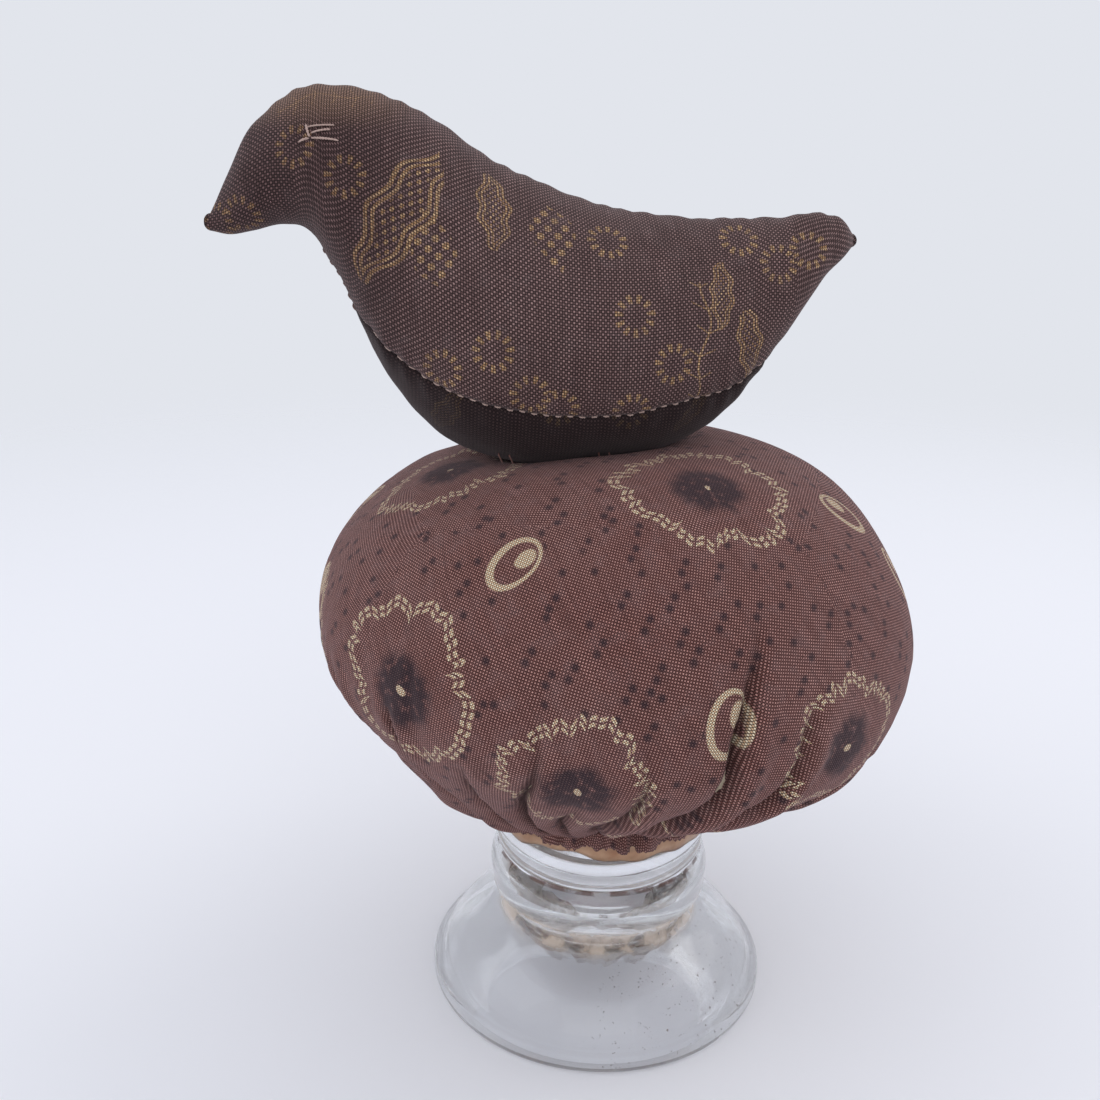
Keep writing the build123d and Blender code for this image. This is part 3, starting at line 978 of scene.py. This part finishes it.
def lay_cushion_print(cover):
    """Flowers as (azimuth, turn, turning, radius), eggs as (azimuth, turn, turning, half length)."""
    flowers = [(-69, 25, 10, 15.5), (-126, 86, 60, 15.5), (-93, 108, 0, 14.5), (-47, 92, 80, 14.0),
               (-163, 36, 0, 14.5), (-10, 96, 40, 14.5), (-168, 104, 20, 14.5), (30, 60, 70, 15.0),
               (58, 100, 10, 15.0), (88, 48, 30, 15.0), (110, 96, 90, 14.5), (140, 60, 50, 15.0),
               (156, 106, 0, 14.5), (10, 140, 0, 13.0), (-60, 140, 0, 13.0)]
    eggs = [(-114, 50, -22, 6.0), (-165, 80, 10, 6.2), (-22, 40, 30, 6.0), (-71, 83, -10, 6.2),
            (-14, 61, 10, 6.0), (32, 88, 20, 6.0), (66, 66, -30, 6.0), (86, 80, 10, 6.0),
            (122, 40, 40, 6.0), (133, 100, -10, 6.0), (84, 112, 0, 6.0), (178, 60, 20, 6.0)]
    lay_motifs(cover, "flower", [(*on_cushion(a, t), turning, size) for a, t, turning, size in flowers])
    lay_motifs(cover, "egg", [(*on_cushion(a, t), turning, size) for a, t, turning, size in eggs])


def make_cushion_stuffing(material):
    """Lumpy stuffing inside the cover, packed round the glass stump."""
    rows, columns = 64, 120
    points, _, azimuth = cushion_points(rows, columns, inset=2.4)
    points = points[:-6]
    lumps = 0.45 * ripple(points, 12, 9)
    points -= lumps[..., None] * radial(points)
    around = np.radians(azimuth[0])
    inner = [(22.5, CUFF_EDGE + 5.0), (20.0, CUFF_EDGE + 4.6), (15.5, CUFF_EDGE + 6.6),
             (14.0, CUFF_EDGE + 12.0), (13.0, CUFF_EDGE + 18.5), (4.0, CUFF_EDGE + 19.0)]
    for radius, height in inner:
        points = np.concatenate([points, level_ring(radius, height, around)[None]])
    top = [0, 0, points[0, :, 2].mean()]
    piece = closed_skin("cushion_stuffing_lumps", points, top, [0, 0, CUFF_EDGE + 19.0])
    finish_piece(piece, "stuffing", material, "cushion_stuffing")


# ---------------------------------------------------------------- bird

UNDER = 26                    # grid columns from the belly's middle to the gusset seam
OVER = 54                     # and from there to the back seam
HALF = UNDER + OVER


def turn_bird(points):
    """From the bird's own frame into the part's."""
    cosine, sine = math.cos(BIRD_TURN), math.sin(BIRD_TURN)
    return points @ np.array([[cosine, sine, 0], [-sine, cosine, 0], [0, 0, 1]])


def seam_angles(stations, low, high):
    """The angle round the section at which the gusset seam lies, running to the belly at its ends."""
    height = between(GUSSET_SEAM, np.clip(stations, GUSSET_SEAM[0, 0], GUSSET_SEAM[-1, 0]))[:, 0]
    middle = (low + high) / 2
    angle = np.degrees(np.arcsin(np.clip((height - middle) / (high - middle), -1, 1)))
    narrow = -84.0
    front = smooth_step(stations, GUSSET_FRONT, -47.0)
    rear = 1 - smooth_step(stations, 27.0, GUSSET_REAR)
    return narrow + (angle - narrow) * np.minimum(front, rear)


def bird_grid(inset=0.0):
    """Grid of the bird's skin: rows along it, columns from belly up the left side and down the right."""
    inner = np.arange(BIRD_SECTIONS[0, 0], BIRD_SECTIONS[-1, 0], 0.75)
    rounding = np.array([0.35, 0.7, 1.0, 1.2])
    inner = np.concatenate([inner[0] - rounding[::-1], inner, inner[-1] + rounding])
    low, high, half = between(BIRD_SECTIONS, inner).T
    beyond = np.maximum(BIRD_SECTIONS[0, 0] - inner, inner - inner[-5]).clip(0, None)
    shrink = np.sqrt(1 - (beyond / 1.35).clip(0, 1) ** 2)
    middle, reach = (low + high) / 2, (high - low) / 2 * shrink
    low, high, half = middle - reach, middle + reach, half * shrink
    angles = seam_angles(inner, low, high)
    under = np.linspace(0, 1, UNDER + 1)[None, :-1]
    over = np.linspace(0, 1, OVER + 1)[None]
    seam = angles[:, None]
    up = np.concatenate([-90 + (seam + 90) * under, seam + (90 - seam) * over], axis=1)
    beta = np.radians(up)
    width = (half - inset).clip(0.4)[:, None] * np.cos(beta) * (1 - EGG * np.sin(beta))
    height = ((low + high) / 2)[:, None] + ((high - low) / 2 - inset).clip(0.4)[:, None] * np.sin(beta)
    station = np.repeat(inner[:, None], HALF + 1, axis=1)
    left = np.stack([station, -width, height], axis=-1)
    right = np.stack([station, width, height], axis=-1)[:, -2:0:-1]
    return np.concatenate([left, right], axis=1), inner


def arc_lengths(points):
    """Distance round each row from the first column, both ways as one running total."""
    steps = np.linalg.norm(np.roll(points, -1, axis=1) - points, axis=2)
    return np.concatenate([np.zeros((len(points), 1)), np.cumsum(steps, axis=1)[:, :-1]], axis=1)


def bird_relief(points, stations, arcs):
    """Seam valleys, the puckers beside them, and the soft unevenness of old stuffing."""
    columns = arcs.shape[1]
    total = arcs[:, -1:] + np.linalg.norm(points[:, 0] - points[:, -1], axis=1)[:, None]
    to_back = np.abs(arcs - arcs[:, HALF:HALF + 1])
    left_seam = np.abs(arcs - arcs[:, UNDER:UNDER + 1])
    right_seam = np.abs(arcs - arcs[:, columns - UNDER:columns - UNDER + 1])
    to_gusset = np.minimum(left_seam, right_seam)
    on_gusset = ((stations > GUSSET_FRONT) & (stations < GUSSET_REAR))[:, None]
    puckers = np.sin(stations * 1.35 + 1.4 * np.sin(stations * 0.31))[:, None]
    relief = 0.3 * ripple(points, 26, 11) + 0.1 * ripple(points, 8, 12)
    relief -= on_gusset * (0.45 * bell(to_gusset, 0.6) + 0.25 * bell(to_gusset, 2.0))
    relief += on_gusset * 0.22 * puckers * bell(to_gusset - 1.8, 2.4)
    relief -= 0.7 * bell(to_back, 0.5) + 0.25 * bell(to_back, 1.6)
    relief += 0.14 * puckers * bell(to_back - 1.8, 2.6)
    front = bell(stations + 54, 5.0)[:, None] * bell(np.minimum(arcs, total - arcs), 2.2)
    relief -= 0.4 * front
    return relief * smooth_step(np.minimum(stations + 77, 47 - stations), 0, 7)[:, None]


def bird_skin():
    """The finished grid in the part's frame, its normals, flat cloth coordinates and stations."""
    points, stations = bird_grid()
    normals = -grid_normals(points)
    arcs = arc_lengths(points)
    relief = bird_relief(points, stations, arcs)
    points = points + normals * relief[..., None]
    widest = arcs[:, HALF // 2:HALF // 2 + 1]
    other = arcs[:, -(HALF // 2)][:, None]
    column = np.arange(points.shape[1])[None]
    rise = np.where(column <= HALF, arcs - widest, other - arcs)
    run = np.repeat(stations[:, None], points.shape[1], axis=1) * 1.06
    flat = np.stack([run, rise], axis=-1)
    return turn_bird(points), turn_bird(normals), flat, stations


def cut_piece(name, points, flat, chosen, caps):
    """One cloth piece from the bird's grid: the chosen quads, with the beak and tail caps if any."""
    rows, columns = points.shape[:2]
    quads = grid_faces(rows, columns)[chosen.ravel()][:, ::-1]
    every = points.reshape(-1, 3)
    cloth = flat.reshape(-1, 2)
    faces = quads.tolist()
    for row, ring, flip in caps:
        pole = len(every)
        tip = points[row].mean(axis=0)
        every = np.concatenate([every, tip[None]])
        cloth = np.concatenate([cloth, flat[row].mean(axis=0)[None]])
        for a, b in zip(ring[:-1], ring[1:]):
            start, end = row * columns + a % columns, row * columns + b % columns
            faces.append([int(start), int(end), pole] if flip else [int(end), int(start), pole])
    used = sorted({corner for face in faces for corner in face})
    renumber = {old: new for new, old in enumerate(used)}
    faces = [[renumber[corner] for corner in face] for face in faces]
    piece = make_mesh(name, every[used], faces)
    corners = np.array([corner for face in faces for corner in face])
    lay_cloth(piece, cloth[used][corners])
    return piece


def on_bird(points, normals, stations, station, height, side):
    """The grid point of one flank nearest to a station and height; side -1 is the left."""
    row = int(np.abs(stations - station).argmin())
    columns = np.arange(4, HALF - 1) if side < 0 else np.arange(HALF + 2, points.shape[1] - 4)
    column = columns[np.abs(points[row, columns, 2] - height).argmin()]
    return points[row, column], normals[row, column]


def lay_bird_print(piece, spot, side):
    """The print of one flank; the right flank shows the same cloth shifted along."""
    shift = 0 if side < 0 else 7
    rosettes_at = [(-59, 180), (-50, 175), (-33.5, 143), (-24.5, 146.5), (-18, 138), (-13, 135.5),
                   (-3.5, 165), (1, 152.7), (8, 144), (0.5, 135), (29, 161), (22, 165.5), (35, 163.5),
                   (-70, 168.5), (-75, 167)]
    leaves_at = [(-41, 170, -33, 14.5), (-25, 170, -8, 8.2), (23, 147, 14, 7.5), (17.5, 156, -8, 6.5),
                 (-34, 134.5, -48, 6.5), (13, 133.5, -30, 4.5)]
    drops_at = [(-35.5, 164, 10, 7.5), (-13.5, 165.5, 180, 8.0)]
    twigs_at = [(14, 147.5, -4, 11.0), (-54, 189, 96, 9.0)]

    def place(station, height):
        return spot(station + shift * (abs(station) < 40), height, side)

    lay_motifs(piece, "rosette", [(*place(s, h), 0, 3.05) for s, h in rosettes_at])
    lay_motifs(piece, "leaf", [(*place(s, h), turning, size) for s, h, turning, size in leaves_at])
    lay_motifs(piece, "drop", [(*place(s, h), turning, size) for s, h, turning, size in drops_at])
    lay_motifs(piece, "twig", [(*place(s, h), turning, size) for s, h, turning, size in twigs_at])


def make_bird(cotton, gusset_cotton, pale, brown, stuffing):
    points, normals, flat, stations = bird_skin()
    rows, columns = points.shape[:2]
    row, column = np.meshgrid(np.arange(rows - 1), np.arange(columns), indexing="ij")
    in_range = (stations[row] > GUSSET_FRONT) & (stations[row] < GUSSET_REAR)
    gusset = in_range & ((column < UNDER) | (column >= columns - UNDER))
    left = ~gusset & (column < HALF)
    right = ~gusset & (column >= HALF)
    left_ring, right_ring = list(range(HALF + 1)), list(range(HALF, columns + 1))
    pieces = {
        -1: cut_piece("bird_left_panel_cloth", points, flat, left,
                      [(0, left_ring, False), (rows - 1, left_ring, True)]),
        1: cut_piece("bird_right_panel_cloth", points, flat, right,
                     [(0, right_ring, False), (rows - 1, right_ring, True)])}

    def spot(station, height, side):
        return on_bird(points, normals, stations, station, height, side)

    for side, node in ((-1, "bird_left_panel"), (1, "bird_right_panel")):
        lay_bird_print(pieces[side], spot, side)
        stations_here = np.array([vertex.co.x for vertex in pieces[side].data.vertices]) / MM
        beak, tail = stations_here.min(), stations_here.max()
        tips = smooth_step(np.minimum(stations_here - beak, tail - stations_here), 1.0, 7.0)
        thicken(pieces[side], PANEL_THICKNESS, tips)
        finish_piece(pieces[side], "bird_cotton", cotton, node)
    run, rise = flat[..., 0], flat[..., 1]
    diagonal = np.stack([run + rise, run - rise], axis=-1) * math.sqrt(0.5)
    belly = cut_piece("bird_belly_gusset_cloth", points, diagonal, gusset, [])
    lay_bird_print(belly, spot, -1)
    thicken(belly, PANEL_THICKNESS)
    finish_piece(belly, "bird_cotton", gusset_cotton, "bird_belly_gusset")
    sew_bird(points, normals, stations, pale, brown)
    make_bird_stuffing(stuffing)


def make_bird_stuffing(material):
    points, _ = bird_grid(inset=2.2)
    points = points[4:-4:2, ::4]
    normals = -grid_normals(points)
    points = turn_bird(points + normals * (0.35 * ripple(points, 11, 21))[..., None])
    piece = closed_skin("bird_stuffing_lumps", points, points[0].mean(axis=0), points[-1].mean(axis=0))
    finish_piece(piece, "stuffing", material, "bird_stuffing")


# ---------------------------------------------------------------- stitches

def islands(node):
    """The separate solids of a CAD node of stitches: each one's two ends, in millimetres."""
    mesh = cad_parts[node].data
    parent = list(range(len(mesh.vertices)))

    def top(number):
        while parent[number] != number:
            parent[number] = parent[parent[number]]
            number = parent[number]
        return number

    places = np.array([vertex.co for vertex in mesh.vertices]) / MM
    keys = {}
    for number, place in enumerate(np.round(places, 3)):
        first = keys.setdefault(tuple(place), number)
        parent[top(number)] = top(first)
    for edge in mesh.edges:
        parent[top(edge.vertices[0])] = top(edge.vertices[1])
    groups = {}
    for number in range(len(places)):
        groups.setdefault(top(number), []).append(number)
    ends = []
    for members in groups.values():
        cloud = places[members]
        middle = (cloud.min(axis=0) + cloud.max(axis=0)) / 2
        axis = np.linalg.svd(cloud - middle, full_matrices=False)[2][0]
        reach = np.abs((cloud - middle) @ axis).max()
        ends.append((middle - axis * reach, middle + axis * reach))
    return sorted(ends, key=lambda pair: tuple(np.round(pair[0], 3)))


def stitch_over(start, end, tree, sink, rise):
    """A stitch between two places of the skin: its ends go in, its middle stands proud."""
    line = []
    for part in np.linspace(0, 1, 7):
        place = start * (1 - part) + end * part
        near, normal, _, _ = tree.find_nearest(Vector(place))
        height = -sink + (sink + rise) * math.sin(math.pi * part) ** 0.5
        line.append(np.array(near) + np.array(normal) * height)
    return np.array(line)


def sew(name, lines, radius, slot, material, node):
    """Makes one piece of the threads along the lines."""
    return finish_piece(thread_mesh(name, lines, radius), slot, material, node)


# Eye: long straight stitches and the short ones that cross them, as (distance along the axis, height)
EYE_LINES = [((-57.2, 183.6), (-51.6, 184.2)), ((-56.2, 182.6), (-52.4, 183.2)),
             ((-56.4, 181.8), (-51.0, 181.2)), ((-57.4, 184.0), (-56.6, 181.4)),
             ((-58.4, 181.0), (-56.6, 182.0))]


def sew_bird(points, normals, stations, pale, brown):
    rows, columns = points.shape[:2]
    quads = grid_faces(rows, columns)[:, ::-1]
    tree = BVHTree.FromPolygons(points.reshape(-1, 3).tolist(), quads.tolist())
    seam_rows = np.where((stations > GUSSET_FRONT + 1) & (stations < GUSSET_REAR - 1))[0]
    for side, column in (("left", UNDER), ("right", columns - UNDER)):
        lines = []
        for first in seam_rows[:-3:3]:
            start, end = points[first, column], points[first + 2, column]
            lines.append(stitch_over(start, end, tree, 0.25, 0.12))
        node = f"bird_{side}_gusset_stitches"
        sew(f"bird_{side}_gusset_thread", lines, 0.2, "pale_thread", pale, node)
    lines = []
    for first in range(6, rows - 8, 3):
        lines.append(stitch_over(points[first, HALF], points[first + 2, HALF], tree, 0.25, 0.1))
    sew("bird_back_seam_thread", lines, 0.18, "brown_thread", brown, "bird_back_seam_stitches")
    node = "bird_breast_closing_stitches"
    lines = [stitch_over(start, end, tree, 0.3, 0.6) for start, end in islands(node)]
    sew("bird_breast_closing_thread", lines, 0.34, "brown_thread", brown, node)
    for side, word in ((-1, "left"), (1, "right")):
        lines = []
        for start, end in EYE_LINES:
            places = [on_bird(points, normals, stations, *spot, side)[0] for spot in (start, end)]
            lines.append(stitch_over(*places, tree, 0.2, 0.25))
        node = f"bird_{word}_eye_stitches"
        sew(f"bird_{word}_eye_thread", lines, 0.24, "pale_thread", pale, node)
    lines = []
    for start, end in islands("bird_tacking_stitches"):
        bow = radial(((start + end) / 2)[None])[0] * 0.5
        lines.append([start, (start + end) / 2 + bow, end])
    sew("bird_tacking_thread", lines, 0.2, "brown_thread", brown, "bird_tacking_stitches")


# ---------------------------------------------------------------- glass, glue and crust

def make_glass(glass, glue, crust):
    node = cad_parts["glass_base"]
    node.data.materials.clear()
    node.data.materials.append(glass)
    make_glue(glue)
    make_crust(crust)


def make_glue(material):
    """A ragged skin of glue squeezed out below the cover's raw edge, up into the cuff."""
    columns = 180
    around = np.arange(columns) * 2 * math.pi / columns
    ragged = 0.8 * np.sin(around * 3 + 1) + 0.5 * np.sin(around * 7 + 2) + 0.3 * np.sin(around * 17)
    rows = [(23.95, CUFF_EDGE - 2.6, 1.0), (24.3, CUFF_EDGE - 2.2, 1.0), (24.75, CUFF_EDGE - 0.8, 0.5),
            (24.7, CUFF_EDGE + 0.6, 0.0), (23.5, CUFF_EDGE + 2.6, 0.0), (20.5, CUFF_EDGE + 3.6, 0.0),
            (20.0, CUFF_EDGE + 3.1, 0.0), (22.6, CUFF_EDGE + 2.2, 0.0), (24.0, CUFF_EDGE - 0.4, 0.0)]
    rings = [level_ring(radius, height + share * ragged, around) for radius, height, share in rows]
    points = np.array(rings + rings[:1])
    faces = grid_faces(len(rings) + 1, columns)
    points = points[:-1]
    faces = faces % (len(rings) * columns)
    piece = make_mesh("stem_glue_smear", points.reshape(-1, 3), faces.tolist())
    finish_piece(piece, "amber_glue", material, "stem_glue")


def make_crust(material):
    """Lumpy, broken ring of crust round the edge of the hollow's ceiling."""
    _, high = box_mm("hollow_residue")
    rows, columns = 26, 260
    angles = np.arange(columns) * 2 * math.pi / columns
    part, around = np.meshgrid(np.linspace(0, 1, rows), angles, indexing="ij")
    inner = high[0] - CRUST_WIDTH + 0.9 * np.sin(around * 4 + 1) + 0.6 * np.sin(around * 9)
    radius = inner + (high[0] - inner) * part
    ceiling = level_ring(radius, high[2] - 0.02, around)
    depth = 2.4 + 1.3 * ripple(ceiling, 7.0, 31) + 0.6 * ripple(ceiling, 2.0, 32)
    depth = np.clip(depth, 0.12, 4.6) * np.sin(math.pi * part) ** 0.5
    under = ceiling - np.array([0, 0, 1.0]) * depth[..., None]
    points = np.concatenate([under, ceiling[::-1][1:-1]])
    count = len(points)
    faces = grid_faces(count + 1, columns) % (count * columns)
    piece = make_mesh("hollow_residue_crust", points.reshape(-1, 3), faces[:, ::-1].tolist())
    finish_piece(piece, "dark_residue", material, "hollow_residue")


# ---------------------------------------------------------------- stage

def make_floor():
    """A pale round floor whose edge melts into the pale room."""
    paint = Painter("pale_floor")
    x, y, _ = paint.parts(paint.place())
    away = (x * x + y * y).math("SQRT")
    surface = paint.shader(Base_Color=srgb(242, 242, 246), Roughness=0.9, Specular_IOR_Level=0.15)
    room = paint.shader("ShaderNodeBsdfTransparent")
    both = blend_shaders(paint, paint.step(away, 240.0, 900.0), surface, room)
    around = np.arange(96) * 2 * math.pi / 96
    rim = level_ring(FLOOR_RADIUS, -0.05, around)
    floor = make_mesh("floor", rim, [list(range(96))])
    floor.data.materials.append(paint.output(both))


def make_light(name, place, size, power, colour):
    lamp = bpy.data.lights.new(name, "AREA")
    lamp.shape = "RECTANGLE"
    lamp.size, lamp.size_y = size
    lamp.energy = power
    lamp.color = colour
    holder = bpy.data.objects.new(name, lamp)
    holder.location = place
    target = Vector((0, 0, 0.1))
    holder.rotation_euler = (target - Vector(place)).to_track_quat("-Z", "Y").to_euler()
    bpy.context.scene.collection.objects.link(holder)


def make_world():
    world = bpy.data.worlds.new("pale_room")
    world.use_nodes = True
    background = world.node_tree.nodes["Background"]
    background.inputs["Color"].default_value = srgb(226, 229, 236)
    background.inputs["Strength"].default_value = 1.0
    bpy.context.scene.world = world


def make_camera():
    """The camera stands in front, a little above the bird's back, and looks down at the cushion."""
    distance = 1.172 * cad_high[2]
    height = 0.916 * cad_high[2]
    yaw, pitch, roll = math.radians(-3.12), math.radians(18.25), math.radians(0.89)
    level = Vector((math.sin(yaw), math.cos(yaw), 0))
    side = Vector((math.cos(yaw), -math.sin(yaw), 0))
    up = Vector((0, 0, 1))
    forward = level * math.cos(pitch) - up * math.sin(pitch)
    upright = up * math.cos(pitch) + level * math.sin(pitch)
    right = side * math.cos(roll) + upright * math.sin(roll)
    top = upright * math.cos(roll) - side * math.sin(roll)
    data = bpy.data.cameras.new("camera")
    data.lens = 36.72
    data.sensor_width = 36.0
    data.clip_start = 0.01
    camera = bpy.data.objects.new("camera", data)
    matrix = Matrix((right, top, -forward)).transposed().to_4x4()
    matrix.translation = Vector((0, -distance, height))
    camera.matrix_world = matrix
    bpy.context.scene.collection.objects.link(camera)
    bpy.context.scene.camera = camera


make_camera()
make_world()
make_floor()
make_light("soft_right", (0.75, 0.35, 0.9), (0.8, 0.8), 2.1, (1.0, 0.98, 0.96))
make_light("soft_left", (-0.8, -0.3, 0.8), (0.8, 0.8), 1.6, (0.95, 0.97, 1.0))
make_light("front_fill", (0.1, -1.1, 0.9), (1.2, 0.9), 2.2, (1.0, 1.0, 1.0))
bpy.context.scene.view_settings.view_transform = "Standard"

brown = thread_material("brown_sewing_thread", srgb(70, 38, 32), srgb(128, 84, 72))
pale = thread_material("pale_sewing_thread", srgb(140, 112, 104), srgb(205, 178, 166))
stuffing = stuffing_material()
make_glass(glass_material(), glue_material(), residue_material())
make_cushion(calico(), brown, stuffing)
cotton = bird_cotton("worn_dark_cotton", 0.0)
# the belly gusset wears a copy of the cotton darkened with painted shade
gusset_cotton = bird_cotton("shaded_gusset_cotton", 0.85)
make_bird(cotton, gusset_cotton, pale, brown, stuffing)
